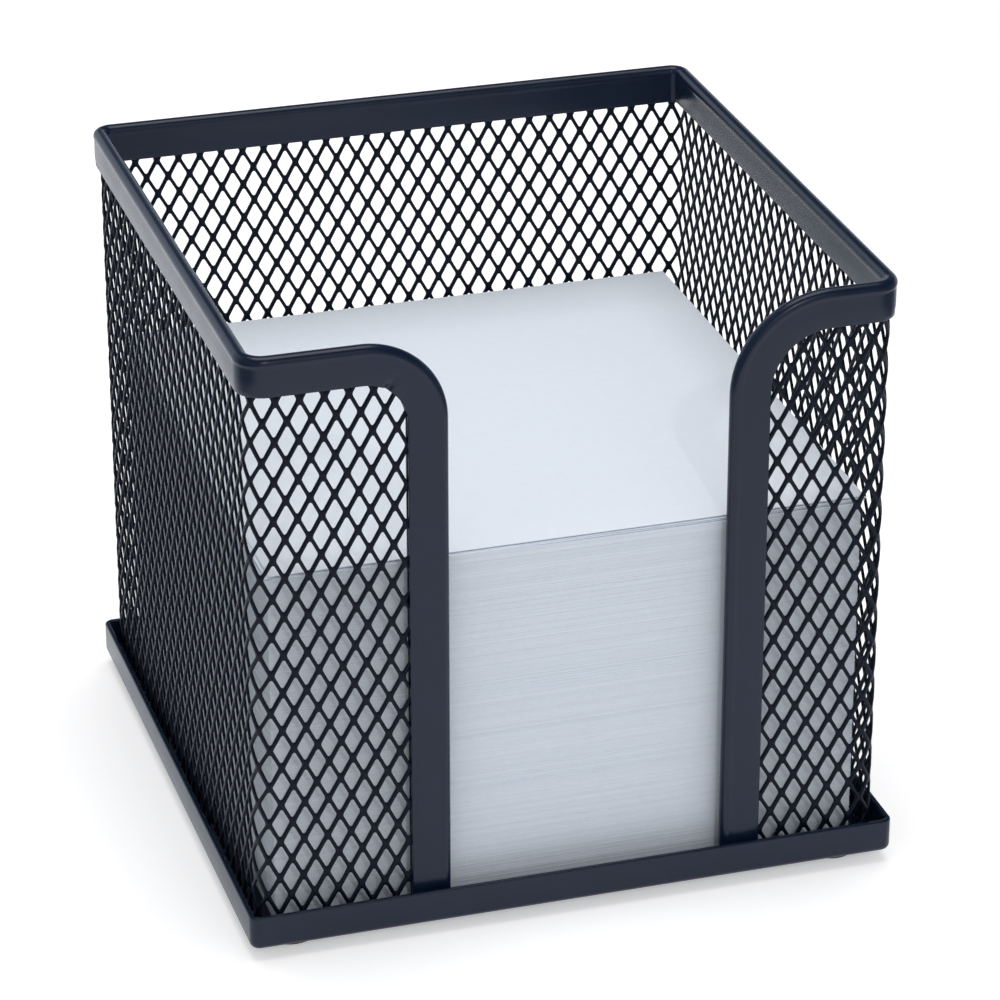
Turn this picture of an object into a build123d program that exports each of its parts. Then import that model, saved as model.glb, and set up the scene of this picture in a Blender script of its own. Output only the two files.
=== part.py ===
"""Memo box: a mesh wall on a pressed steel tray, with a folded edge, a front slot and a stack of notes.

Millimetres, +Z up. The origin is on the surface that the box stands on, under the middle of the tray.
The slot faces -Y.
"""

import os
from math import cos, hypot, radians, sin

from build123d import *

# Notes: square sheets in a stack, the last few lying loose on it
note_size = 90.0
sheet_thickness = 0.1
stack_height = 57.2
loose_sheets = [  # shift right, shift back and turn in degrees, from the lowest loose sheet up
    (0.3, -0.3, 0.2),
    (-0.4, -0.2, -0.3),
    (0.2, -0.5, 0.1),
    (0.5, -0.3, 0.3),
    (-0.2, -0.4, -0.2),
]
top_note_shift = (0.1, -0.3, 0.1)

# Free space between the notes and the inner faces of the folded edge
note_gap_side = 1.9
note_gap_front = 1.6
note_gap_back = 0.6

# Expanded mesh, diamonds standing upright, drawn coarser than the real ones to keep their number down
mesh_thickness = 0.8
strand_width = 1.1
diamond_width = 5.7
diamond_height = 9.6
mesh_selvage = 0.6
smallest_opening = 2.0
curve_tangents = 4

# Folded edge: a channel closed over the mesh, gripping it with its two lips
channel_width = 2.2
channel_height = 6.0
channel_sheet = 0.5
grip_height = 1.0
grip_taper = 0.4
mesh_setback = 1.2
front_bend_radius = 3.1
back_bend_radius = 1.9

# Front slot
slot_width = 42.0
slot_offset = 2.0
slot_corner_radius = 15.0
least_top_run = 1.0  # straight edge kept between a slot curve and the corner bend

# Tray, from its underside to the top of the folded edge, and its feet
box_height = 93.0
tray_sheet = 0.8
tray_lip_height = 5.4
tray_inner_bend = 0.6
tray_corner_radius = 2.0
lip_gap_side = 0.8
lip_gap_front = 0.9
foot_diameter = 9.0
foot_height = 1.8
foot_edge = 0.5
foot_inset = 7.5

# Worked out from the sizes above
wall_x = note_size / 2 + note_gap_side + channel_width / 2
wall_y = (note_size + note_gap_front + note_gap_back) / 2 + channel_width / 2
note_y = (note_gap_front - note_gap_back) / 2
tray_x = wall_x + mesh_thickness / 2 + lip_gap_side + tray_sheet
tray_y = wall_y + channel_width / 2 + lip_gap_front + tray_sheet
floor_top = foot_height + tray_sheet
rim_top = foot_height + box_height
rim_low = rim_top - channel_height
mesh_top = rim_top - mesh_setback
slot_left = slot_offset - slot_width / 2
slot_right = slot_offset + slot_width / 2
inner_bend = min(tray_inner_bend, lip_gap_side, lip_gap_front)
vertical = (0, 0, 1)


def save(piece, name):
    """Label a finished piece and write it as its own node."""
    piece.part.label = name
    export_step(piece.part, f"parts/{name}.step")


def channel_profile():
    """The folded edge's section in the current sketch: crown at the origin, open side down."""
    outer = channel_width / 2
    inner = outer - channel_sheet
    grip = mesh_thickness / 2
    lip = -channel_height
    taper_low = lip + grip_height
    taper_high = taper_low + grip_taper
    with BuildLine() as outline:
        Line((-grip, lip), (-outer, lip))
        Line((-outer, lip), (-outer, -outer))
        ThreePointArc((-outer, -outer), (0, 0), (outer, -outer))
        Line((outer, -outer), (outer, lip))
        Polyline((outer, lip), (grip, lip), (grip, taper_low), (inner, taper_high), (inner, -outer))
        ThreePointArc((inner, -outer), (0, -channel_sheet), (-inner, -outer))
        Polyline((-inner, -outer), (-inner, taper_high), (-grip, taper_low), (-grip, lip))
    make_face(outline.edges())


def clip(points, normal, reach):
    """Cut a polygon back to the near side of a line, given by its normal and its reach along that."""
    past = [normal[0] * x + normal[1] * z - reach for x, z in points]
    kept = []
    for index, (x, z) in enumerate(points):
        following = (index + 1) % len(points)
        if past[index] <= 0:
            kept.append((x, z))
        if past[index] * past[following] < 0:
            share = past[index] / (past[index] - past[following])
            next_x, next_z = points[following]
            kept.append((x + share * (next_x - x), z + share * (next_z - z)))
    return kept


def polygon_area(points):
    """Area of a polygon from its corners."""
    pairs = zip(points, points[1:] + points[:1])
    return abs(sum(a[0] * b[1] - b[0] * a[1] for a, b in pairs)) / 2


def openings(left, right, curve=()):
    """Wires of the diamond openings in a stretch of wall, cut back to its edges and to a curve's tangents."""
    bottom = floor_top + mesh_selvage
    limits = [((-1, 0), -left), ((1, 0), right), ((0, -1), -bottom), ((0, 1), rim_low), *curve]
    half_width = diamond_width / 2
    half_height = diamond_height / 2
    inradius = half_width * half_height / hypot(half_width, half_height)
    shrink = 1 - strand_width / 2 / inradius
    columns = int((right - left) / diamond_width) + 1
    rows = int((rim_low - bottom) / half_height) + 2
    wires = []
    for column in range(-columns, columns + 1):
        for row in range(column % 2, rows, 2):
            x = (left + right) / 2 + column * half_width
            z = bottom + row * half_height
            across = shrink * half_width
            upward = shrink * half_height
            points = [(x + across, z), (x, z + upward), (x - across, z), (x, z - upward)]
            for normal, reach in limits:
                points = clip(points, normal, reach)
            if len(points) > 2 and polygon_area(points) > smallest_opening:
                wires.append(Wire.make_polygon([(*point, 0) for point in points], close=True))
    return wires


def mesh_corner(centre, radius, start_angle):
    """Add the strip's quarter bend about a vertical line to the current part, with its openings."""
    with BuildSketch(Plane.XY.offset(floor_top)) as plan:
        with BuildLine():
            CenterArc(centre, radius, start_angle, 90)
        trace(line_width=mesh_thickness)
    extrude(plan.sketch, amount=mesh_top - floor_top)
    middle = radians(start_angle + 45)
    outward = Plane((*centre, 0), x_dir=(-sin(middle), cos(middle), 0), z_dir=(cos(middle), sin(middle), 0))
    reach = radius * sin(radians(45) - mesh_selvage / radius)
    with BuildSketch(outward) as holes:
        for wire in openings(-reach, reach):
            add(Face(wire))
    extrude(holes.sketch, amount=radius + mesh_thickness, mode=Mode.SUBTRACT)


def mesh_wall(plane, left, right):
    """Add a flat stretch of wall to the current part, between two places along its plane."""
    holes = openings(left + mesh_selvage, right - mesh_selvage)
    corners = [(left, floor_top, 0), (right, floor_top, 0), (right, mesh_top, 0), (left, mesh_top, 0)]
    with BuildSketch(plane.offset(-mesh_thickness / 2)) as sheet:
        add(Face(Wire.make_polygon(corners, close=True), holes))
    extrude(sheet.sketch, amount=mesh_thickness)


def slot_curve(bend_end, slot_edge):
    """Radius of the curve at the top of the slot, limited by the width of the panel beside it."""
    return min(slot_corner_radius, abs(bend_end - slot_edge) - least_top_run)


def mesh_front(bend_end, slot_edge, side):
    """Add a front panel to the current part. Its upper corner at the slot follows the curved edge."""
    mesh_edge = slot_edge + side * mesh_setback
    hole_edge = slot_edge + side * channel_height
    curve_radius = slot_curve(bend_end, slot_edge)
    curve_x = slot_edge + side * curve_radius
    curve_z = rim_top - curve_radius
    mesh_radius = curve_radius - mesh_setback
    hole_radius = curve_radius - channel_height
    curve = []
    for step in range(curve_tangents):
        angle = radians(90 * (step + 0.5) / curve_tangents)
        normal = (-side * cos(angle), sin(angle))
        curve.append((normal, normal[0] * curve_x + normal[1] * curve_z + hole_radius))
    left, right = sorted((bend_end - side * mesh_selvage, hole_edge))
    holes = openings(left, right, curve)
    with BuildLine() as outline:
        Line((mesh_edge, curve_z), (mesh_edge, floor_top))
        Line((mesh_edge, floor_top), (bend_end, floor_top))
        Line((bend_end, floor_top), (bend_end, mesh_top))
        Line((bend_end, mesh_top), (curve_x, mesh_top))
        RadiusArc((curve_x, mesh_top), (mesh_edge, curve_z), -side * mesh_radius)
    with BuildSketch(front_plane.offset(-mesh_thickness / 2)) as sheet:
        add(Face(outline.wire(), holes))
    extrude(sheet.sketch, amount=mesh_thickness)


def front_edge(bend_end, slot_edge, side):
    """Add the front's folded edge to the current part: corner bend, top run, curve and slot leg."""
    curve_radius = slot_curve(bend_end, slot_edge)
    curve_x = slot_edge + side * curve_radius
    curve_z = rim_top - curve_radius
    with BuildLine(front_plane) as path:
        Line((bend_end, rim_top), (curve_x, rim_top))
        RadiusArc((curve_x, rim_top), (slot_edge, curve_z), -side * curve_radius)
        Line((slot_edge, curve_z), (slot_edge, floor_top))
    section = Plane((bend_end, -wall_y, rim_top), x_dir=(0, -side, 0), z_dir=(-side, 0, 0))
    with BuildSketch(section) as profile:
        channel_profile()
    sweep(profile.sketch, path=path.wire())
    bend_axis = Axis((bend_end, -wall_y + front_bend_radius, 0), vertical)
    revolve(profile.sketch, axis=bend_axis, revolution_arc=side * 90)


os.makedirs("parts", exist_ok=True)

left_plane = Plane((-wall_x, 0, 0), x_dir=(0, 1, 0), z_dir=(1, 0, 0))
right_plane = Plane((wall_x, 0, 0), x_dir=(0, 1, 0), z_dir=(1, 0, 0))
back_plane = Plane((0, wall_y, 0), x_dir=(1, 0, 0), z_dir=(0, -1, 0))
front_plane = Plane((0, -wall_y, 0), x_dir=(1, 0, 0), z_dir=(0, -1, 0))

side_front = -wall_y + front_bend_radius
side_back = wall_y - back_bend_radius
back_end = wall_x - back_bend_radius
front_end = wall_x - front_bend_radius

# Tray: a pan with rounded lower edges and corners
with BuildPart() as base_tray:
    with BuildSketch(Plane.XY.offset(foot_height)):
        RectangleRounded(2 * tray_x, 2 * tray_y, tray_corner_radius)
    extrude(amount=tray_lip_height)
    fillet(base_tray.faces().sort_by(Axis.Z)[0].edges(), inner_bend + tray_sheet)
    offset(amount=-tray_sheet, openings=base_tray.faces().sort_by(Axis.Z)[-1])
save(base_tray, "base_tray")

# Feet: round pads under the tray's corners
foot_x = tray_x - foot_inset
foot_y = tray_y - foot_inset
foot_places = {
    "front_left": (-foot_x, -foot_y),
    "front_right": (foot_x, -foot_y),
    "back_left": (-foot_x, foot_y),
    "back_right": (foot_x, foot_y),
}
for place, centre in foot_places.items():
    with BuildPart() as foot:
        with BuildSketch():
            with Locations(centre):
                Circle(foot_diameter / 2)
        extrude(amount=foot_height)
        chamfer(foot.faces().sort_by(Axis.Z)[0].edges(), foot_edge)
    save(foot, f"foot_{place}")

# Mesh strip, in one node for each flat stretch and one for each bend
with BuildPart() as mesh_left:
    mesh_wall(left_plane, side_front, side_back)
save(mesh_left, "mesh_left")

with BuildPart() as mesh_right:
    mesh_wall(right_plane, side_front, side_back)
save(mesh_right, "mesh_right")

with BuildPart() as mesh_back:
    mesh_wall(back_plane, -back_end, back_end)
save(mesh_back, "mesh_back")

with BuildPart() as mesh_front_left:
    mesh_front(-front_end, slot_left, -1)
save(mesh_front_left, "mesh_front_left")

with BuildPart() as mesh_front_right:
    mesh_front(front_end, slot_right, 1)
save(mesh_front_right, "mesh_front_right")

bends = {
    "back_right": ((back_end, side_back), back_bend_radius, 0),
    "back_left": ((-back_end, side_back), back_bend_radius, 90),
    "front_left": ((-front_end, side_front), front_bend_radius, 180),
    "front_right": ((front_end, side_front), front_bend_radius, 270),
}
for place, (centre, radius, start_angle) in bends.items():
    with BuildPart() as corner:
        mesh_corner(centre, radius, start_angle)
    save(corner, f"mesh_corner_{place}")

# Folded edge: straight side runs, the back run with its two bends, and the front runs down the slot
for name, x in (("rim_left", -wall_x), ("rim_right", wall_x)):
    with BuildPart() as rim_side:
        with BuildSketch(Plane((x, side_front, rim_top), x_dir=(-1, 0, 0), z_dir=(0, 1, 0))):
            channel_profile()
        extrude(amount=side_back - side_front)
    save(rim_side, name)

with BuildPart() as rim_back:
    with BuildSketch(Plane((-back_end, wall_y, rim_top), x_dir=(0, 1, 0), z_dir=(1, 0, 0))) as back_left:
        channel_profile()
    extrude(amount=2 * back_end)
    revolve(back_left.sketch, axis=Axis((-back_end, side_back, 0), vertical), revolution_arc=90)
    with BuildSketch(Plane((back_end, wall_y, rim_top), x_dir=(0, 1, 0), z_dir=(1, 0, 0))) as back_right:
        channel_profile()
    revolve(back_right.sketch, axis=Axis((back_end, side_back, 0), vertical), revolution_arc=-90)
save(rim_back, "rim_back")

with BuildPart() as front_edge_left:
    front_edge(-front_end, slot_left, -1)
save(front_edge_left, "front_edge_left")

with BuildPart() as front_edge_right:
    front_edge(front_end, slot_right, 1)
save(front_edge_right, "front_edge_right")

# Notes: a square block, loose sheets lying a little askew on it, and the top note
block_height = stack_height - (len(loose_sheets) + 1) * sheet_thickness
with BuildPart() as note_stack:
    with BuildSketch(Plane.XY.offset(floor_top)):
        with Locations((0, note_y)):
            Rectangle(note_size, note_size)
    extrude(amount=block_height)
save(note_stack, "note_stack")

sheet_names = [f"loose_note_{number}" for number in range(1, len(loose_sheets) + 1)] + ["top_note"]
for layer, (shift_x, shift_y, turn) in enumerate(loose_sheets + [top_note_shift]):
    with BuildPart() as sheet:
        with BuildSketch(Plane.XY.offset(floor_top + block_height + layer * sheet_thickness)):
            with Locations(Location((shift_x, note_y + shift_y), turn)):
                Rectangle(note_size, note_size)
        extrude(amount=sheet_thickness)
    save(sheet, sheet_names[layer])
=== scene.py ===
"""Memo box: coated steel mesh walls on a pressed tray, a folded edge, rubber feet and a stack of notes.

The packed solids are the fixed frame: metres, +Z up, the finger slot towards -Y. Each operator builds one
group of pieces over those solids, and says which of them it stands for.
"""

from math import ceil, cos, exp, floor, pi, radians, sin, tan

import bmesh
import bpy
from bpy.props import FloatProperty, FloatVectorProperty, IntProperty, PointerProperty
from bpy.types import Operator, Panel, PropertyGroup
from mathutils import Matrix, Vector


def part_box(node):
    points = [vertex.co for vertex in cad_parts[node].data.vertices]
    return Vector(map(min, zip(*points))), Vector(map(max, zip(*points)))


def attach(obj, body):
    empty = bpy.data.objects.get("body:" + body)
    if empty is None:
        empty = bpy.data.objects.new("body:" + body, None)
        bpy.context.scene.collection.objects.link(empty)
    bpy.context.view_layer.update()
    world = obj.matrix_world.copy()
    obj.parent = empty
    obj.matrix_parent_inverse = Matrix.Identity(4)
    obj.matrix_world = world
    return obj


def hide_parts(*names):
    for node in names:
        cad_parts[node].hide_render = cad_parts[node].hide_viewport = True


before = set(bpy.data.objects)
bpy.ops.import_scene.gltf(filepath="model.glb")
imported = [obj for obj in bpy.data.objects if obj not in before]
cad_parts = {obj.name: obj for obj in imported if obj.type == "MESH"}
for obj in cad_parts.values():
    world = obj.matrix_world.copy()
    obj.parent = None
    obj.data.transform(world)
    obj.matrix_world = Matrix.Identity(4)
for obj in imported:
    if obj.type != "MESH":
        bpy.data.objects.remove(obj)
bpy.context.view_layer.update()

bl_info = {
    "name": "Memo box",
    "version": (1, 0, 0),
    "blender": (4, 5, 0),
    "location": "3D View > Sidebar > Memo Box",
    "description": "Builds a mesh memo box with its notes over the packed solids",
    "category": "Object",
}

MM = 0.001

# Places read from the packed solids
TRAY_LOW, TRAY_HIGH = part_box("base_tray")
SIDE_LOW, SIDE_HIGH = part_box("rim_left")
BACK_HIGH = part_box("rim_back")[1]
MESH_LOW, MESH_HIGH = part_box("mesh_left")
STACK_LOW, STACK_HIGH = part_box("note_stack")
CHANNEL_WIDTH = SIDE_HIGH.x - SIDE_LOW.x
CHANNEL_HEIGHT = SIDE_HIGH.z - SIDE_LOW.z
RIM_TOP = SIDE_HIGH.z
WALL_X = -(SIDE_LOW.x + SIDE_HIGH.x) / 2
WALL_Y = BACK_HIGH.y - CHANNEL_WIDTH / 2
FRONT_RADIUS = SIDE_LOW.y + WALL_Y
BACK_RADIUS = WALL_Y - SIDE_HIGH.y
FRONT_END = WALL_X - FRONT_RADIUS
BACK_END = WALL_X - BACK_RADIUS
SLOT_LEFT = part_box("front_edge_left")[1].x
SLOT_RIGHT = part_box("front_edge_right")[0].x
MESH_SETBACK = SLOT_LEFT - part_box("mesh_front_left")[1].x
FOOT_NODES = ["foot_front_left", "foot_front_right", "foot_back_left", "foot_back_right"]
SHEET_NODES = [f"loose_note_{number}" for number in range(1, 6)] + ["top_note"]

LEFT, RIGHT = Vector((-1, 0, 0)), Vector((1, 0, 0))
FRONT, BACK = Vector((0, -1, 0)), Vector((0, 1, 0))
DOWN, UP = Vector((0, 0, -1)), Vector((0, 0, 1))

# How unevenly the sheet was drawn along the strip. Each row has a distance from the slot's left edge and the
# shift along the strip there, both in millimetres, the spread of the rows, their rise in millimetres, and the
# slant of the columns.
DRAWN = [
    (0.0, -1.09, 1.036, -0.2, -0.036),  # left edge of the slot
    (26.0, -0.65, 1.036, -0.2, -0.036),  # front left corner
    (122.5, 0.68, 0.963, 0.0, 0.0),  # back left corner
    (168.0, 0.0, 0.963, 0.0, 0.0),  # middle of the back
    (216.0, -0.72, 0.963, 0.0, 0.0),  # back right corner
    (312.0, 0.47, 0.994, 0.9, 0.0095),  # front right corner
    (334.5, 1.35, 0.994, 0.9, 0.0095),  # right edge of the slot
]


def size(name, default, description):
    """A length that a user may set."""
    return FloatProperty(name=name, description=description, default=default, unit="LENGTH", precision=5)


def turn(name, default, description):
    """An angle that a user may set, given in degrees."""
    return FloatProperty(name=name, description=description, default=radians(default), subtype="ANGLE")


def share(name, default, description):
    """A number from 0 to 1 that a user may set."""
    return FloatProperty(name=name, description=description, default=default, subtype="FACTOR", min=0, max=1)


def power(name, default, description):
    """A lamp's power in watts that a user may set."""
    return FloatProperty(name=name, description=description, default=default, unit="POWER")


def colour(name, default, description):
    """A colour that a user may set."""
    return FloatVectorProperty(name=name, description=description, default=default, subtype="COLOR",
                               min=0, max=1)


class MeshWallSettings(PropertyGroup):
    """Sizes of the expanded mesh."""

    column_pitch: size("Column pitch", 3.478 * MM, "Width of one diamond, from crossing to crossing")
    row_pitch: size("Row pitch", 5.85 * MM, "Height of one diamond, from crossing to crossing")
    strand_width: size("Strand width", 0.54 * MM, "Width of a strand across its run")
    strand_thickness: size("Strand thickness", 0.46 * MM, "Thickness of the coated sheet")
    strand_crown: size("Strand crown", 0.04 * MM, "How far the middle of a strand stands above its edges")
    bond_width: size("Bond width", 0.36 * MM, "Distance between the two strands that part at a crossing")
    bond_height: size("Bond height", 0.4 * MM, "Length over which two strands stay joined at a crossing")
    tip_fillet: size("Tip fillet", 0.24 * MM, "Radius at the upper and lower tip of an opening")
    side_fillet: size("Side fillet", 0.6 * MM, "Radius at the left and right corner of an opening")
    lean: turn("Lean", 8, "How far the strands lean out of the wall")
    column_start: size("Column start", 168.03 * MM, "Place of one diamond's middle along the strip")
    row_start: size("Row start", 90.88 * MM, "Height of that diamond's middle")


class EdgeSettings(PropertyGroup):
    """Sizes of the folded edge."""

    left_radius: size("Left radius", 12.5 * MM, "Radius of the edge's left curve into the slot")
    right_radius: size("Right radius", 15 * MM, "Radius of the edge's right curve into the slot")
    sheet: size("Sheet", 0.5 * MM, "Thickness of the folded sheet")
    bead: size("Bead", 0.1 * MM, "How far the rounded crown stands out from the faces below it")
    grip: size("Grip", 0.8 * MM, "Free width between the two lips")
    pinch: size("Pinch", 0.08 * MM, "How far each lip is pressed in")
    crimp_depth: size("Crimp depth", 0.6 * MM, "Depth of the crimp where the sheet bunched in the left curve")
    crimp_width: size("Crimp width", 0.55 * MM, "Half the width of that crimp")
    crimp_length: size("Crimp length", 2.2 * MM, "How far the crimp runs out from the lip")
    crimp_angle: turn("Crimp angle", 58, "Place of the crimp on the left curve, up from the slot's side")


class TraySettings(PropertyGroup):
    """Sizes of the tray and its feet."""

    sheet: size("Sheet", 0.8 * MM, "Thickness of the tray's sheet")
    corner_radius: size("Corner radius", 1.5 * MM, "Radius of the tray's corners, seen from above")
    least_radius: size("Least radius", 0.2 * MM, "Smallest radius of those corners on the inside")
    edge_radius: size("Edge radius", 1.1 * MM, "Radius of the tray's lower edge")
    lip_radius: size("Lip radius", 0.25 * MM, "Rounding of the lip's upper edge")
    foot_edge: size("Foot edge", 0.4 * MM, "Rounding of a foot's lower edge")
    foot_taper: size("Foot taper", 0.1 * MM, "How much a foot draws in where it meets the tray")
    dish_depth: size("Dish depth", 0.12 * MM, "Depth of the dish in the underside of a foot")
    dish_floor: share("Dish floor", 0.55, "Radius of the dish's floor beside the foot's radius")
    dish_rim: share("Dish rim", 0.62, "Radius of the dish's rim beside the foot's radius")


class CoatSettings(PropertyGroup):
    """Finish of the steel and of the feet."""

    colour: colour("Coat colour", (0.005, 0.0125, 0.032), "Colour of the coat on the tray and folded edge")
    roughness: share("Coat roughness", 0.25, "Roughness of that coat")
    gloss: share("Coat gloss", 0.34, "Specular level of that coat")
    # Darker than the coat colour above: painted shade of the strands shading one another, on the same coat
    mesh_shaded_colour: colour("Mesh coat shaded colour", (0.003, 0.0065, 0.016), "Colour of the coat on the mesh")
    mesh_roughness: share("Mesh coat roughness", 0.42, "Roughness of the mesh's coat")
    mesh_gloss: share("Mesh coat gloss", 0.14, "Specular level of the mesh's coat")
    rubber: colour("Rubber colour", (0.018, 0.018, 0.02), "Colour of the feet")


class NoteSettings(PropertyGroup):
    """Sizes and finish of the notes."""

    sheet: size("Sheet", 0.1 * MM, "Thickness of one sheet")
    corner: size("Corner", 0.15 * MM, "Radius of a sheet's corners")
    gap: size("Gap", 0.006 * MM, "Air between two sheets")
    jitter: size("Jitter", 0.05 * MM, "How far a sheet lies out of line")
    swing: size("Swing", 0.9 * MM, "How far the topmost batch of sheets stands out at its right end")
    batch: size("Batch", 0.55 * MM, "Height of a batch of sheets that turned together")
    batches: IntProperty(name="Batches", description="Number of batches that turned", default=5)
    droop: size("Droop", 0.2 * MM, "How far the loose sheets under the top one hang at the front")
    droop_reach: size("Droop reach", 25 * MM, "How far back from the front edge they hang")
    seed: IntProperty(name="Seed", description="Seed of the sheets' places", default=7)
    colour: colour("Paper colour", (0.82, 0.885, 0.97), "Colour of the paper")
    # Darkens the stack's cut edges as a whole: partly the greyer cut of the paper, partly painted shade of
    # the stack's front beside its lit top
    edge_tone_and_shade: share("Edge tone and shade", 0.96, "How light the cut edges of the stack are beside the paper's face")
    tone_spread: share("Tone spread", 0.03, "How much one sheet's edge may differ in tone from another's")


class StageSettings(PropertyGroup):
    """Camera, floor and light."""

    azimuth: turn("Azimuth", -17.07, "Direction that the camera looks from, round the box from its front")
    elevation: turn("Elevation", 25.587, "Height of the camera above the horizon")
    distance: size("Distance", 658.9 * MM, "Distance from the camera to its target")
    target: FloatVectorProperty(name="Target", description="Point that the camera looks at", subtype="XYZ",
                                default=(1.24 * MM, -6.149 * MM, 47.639 * MM), unit="LENGTH")
    lens: FloatProperty(name="Lens", description="Focal length in millimetres", default=155.03)
    floor_side: size("Floor side", 0.19, "How far the floor runs out to each side of the box's middle")
    floor_front: size("Floor front", 0.8, "How far the floor runs out to the front")
    floor_back: size("Floor back", 1.2, "How far the floor runs out to the back")
    floor_colour: colour("Floor colour", (0.88, 0.88, 0.89), "Colour of the floor")
    floor_glow: share("Floor glow", 0.4, "Light of the floor's own, for the camera and in the gloss")
    gloss_tint: colour("Gloss tint", (0.78, 0.87, 1.0), "Colour of the white studio in the gloss")
    key_power: power("Key light", 1.1, "Power of the small front light")
    front_power: power("Front light", 1.2, "Power of the soft front light")
    top_power: power("Top light", 4.6, "Power of the light above")
    ambient: FloatProperty(name="Ambient", description="Strength of the light from all round", default=0.5)


class Graph:
    """Short hand for a node tree: makes nodes, and links or sets their inputs."""

    def __init__(self, tree):
        self.tree = tree

    def add(self, kind, inputs=None, **options):
        """Make a node, set its options, and link a socket or set a value on each input that is named."""
        node = self.tree.nodes.new(kind)
        for option, value in options.items():
            setattr(node, option, value)
        for key, value in (inputs or {}).items():
            self.give(node.inputs[key], value)
        return node

    def give(self, socket, value):
        """Link a socket to an input, or set the input's value."""
        if isinstance(value, bpy.types.NodeSocket):
            self.tree.links.new(value, socket)
        else:
            socket.default_value = value

    def flow(self, kind, geometry, inputs=None, **options):
        """Geometry after it has passed through a node."""
        return self.add(kind, {"Geometry": geometry, **(inputs or {})}, **options).outputs["Geometry"]

    def math(self, operation, *values):
        """A Math node's result."""
        return self.add("ShaderNodeMath", dict(enumerate(values)), operation=operation).outputs[0]

    def vector(self, operation, *values):
        """A Vector Math node's vector."""
        node = self.add("ShaderNodeVectorMath", dict(enumerate(values)), operation=operation)
        return node.outputs["Vector"]

    def scale(self, vector, factor):
        """A vector times a number."""
        node = self.add("ShaderNodeVectorMath", {0: vector, "Scale": factor}, operation="SCALE")
        return node.outputs["Vector"]

    def combine(self, x, y, z):
        """A vector from three numbers."""
        return self.add("ShaderNodeCombineXYZ", {0: x, 1: y, 2: z}).outputs[0]

    def separate(self, vector):
        """The three numbers of a vector."""
        return self.add("ShaderNodeSeparateXYZ", {0: vector}).outputs

    def position(self):
        """The place of each point, in a geometry tree."""
        return self.add("GeometryNodeInputPosition").outputs[0]


def open_group(name, kind, inputs, outputs):
    """A new node group with sockets listed by kind: its graph, its input sockets and its output node."""
    tree = bpy.data.node_groups.new(name, kind)
    for side, sockets in (("INPUT", inputs), ("OUTPUT", outputs)):
        for socket_kind, names in sockets.items():
            for socket_name in names:
                tree.interface.new_socket(socket_name, in_out=side, socket_type=f"NodeSocket{socket_kind}")
    graph = Graph(tree)
    return graph, graph.add("NodeGroupInput").outputs, graph.add("NodeGroupOutput")


def surface_grain():
    """Shared shader group: an even fine grain with a slower mottle, as coats, paper and rubber have."""
    name = "surface_grain"
    if name in bpy.data.node_groups:
        return bpy.data.node_groups[name]
    inputs = {"Float": ["Grain Scale", "Mottle Scale", "Tone Spread", "Roughness", "Roughness Spread"]}
    outputs = {"Float": ["Tone", "Roughness", "Height"]}
    graph, given, result = open_group(name, "ShaderNodeTree", inputs, outputs)
    place = graph.add("ShaderNodeTexCoord").outputs["Object"]
    grain = graph.add("ShaderNodeTexNoise", {"Vector": place, "Scale": given["Grain Scale"], "Detail": 2.0})
    mottle = graph.add("ShaderNodeTexNoise", {"Vector": place, "Scale": given["Mottle Scale"], "Detail": 4.0})
    swing = graph.math("SUBTRACT", mottle.outputs[0], 0.5)
    tone = graph.math("MULTIPLY_ADD", swing, given["Tone Spread"], 1.0)
    roughness = graph.math("MULTIPLY_ADD", swing, given["Roughness Spread"], given["Roughness"])
    graph.give(result.inputs["Tone"], tone)
    graph.give(result.inputs["Roughness"], roughness)
    graph.give(result.inputs["Height"], grain.outputs[0])
    return graph.tree


def new_material(name, tint, grain, bump, tone_attribute=None):
    """A material with the shared grain: its colour, grain values, bump height and tone attribute."""
    material = bpy.data.materials.new(name)
    material.use_nodes = True
    graph = Graph(material.node_tree)
    shader = graph.tree.nodes["Principled BSDF"]
    group = graph.add("ShaderNodeGroup", node_tree=surface_grain())
    for key, value in grain.items():
        group.inputs[key].default_value = value
    tone = group.outputs["Tone"]
    if tone_attribute:
        layer = graph.add("ShaderNodeAttribute", attribute_name=tone_attribute)
        tone = graph.math("MULTIPLY", tone, layer.outputs["Fac"])
    relief = graph.add("ShaderNodeBump", {
        "Height": group.outputs["Height"], "Distance": bump, "Strength": 1.0})
    graph.give(shader.inputs["Base Color"], graph.scale(tuple(tint), tone))
    graph.give(shader.inputs["Roughness"], group.outputs["Roughness"])
    graph.give(shader.inputs["Normal"], relief.outputs["Normal"])
    return material


def powder_coat(name, tint, roughness, gloss):
    """Powder coat on the steel: blue black, with a fine orange peel."""
    grain = {"Grain Scale": 1200.0, "Mottle Scale": 160.0, "Tone Spread": 0.5,
             "Roughness": roughness, "Roughness Spread": 0.1}
    orange_peel = 0.0004 * MM
    if name not in bpy.data.materials:
        shader = new_material(name, tint, grain, orange_peel).node_tree.nodes["Principled BSDF"]
        shader.inputs["Specular IOR Level"].default_value = gloss
    return bpy.data.materials[name]


def satin_coat(coat):
    """The coat on the tray and the folded edge."""
    return powder_coat("satin_coat", coat.colour, coat.roughness, coat.gloss)


def mesh_coat(coat):
    """The coat on the mesh: the same coat as on the sheet pieces but duller, and darker with painted shade of
    the strands shading one another.
    """
    return powder_coat("mesh_coat", coat.mesh_shaded_colour, coat.mesh_roughness, coat.mesh_gloss)


def foot_rubber(coat):
    """Matt rubber of the feet."""
    grain = {"Grain Scale": 4000.0, "Mottle Scale": 300.0, "Tone Spread": 0.6,
             "Roughness": 0.75, "Roughness Spread": 0.2}
    moulded_grain = 0.02 * MM
    found = bpy.data.materials.get("pad_rubber")
    return found or new_material("pad_rubber", coat.rubber, grain, moulded_grain)


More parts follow.
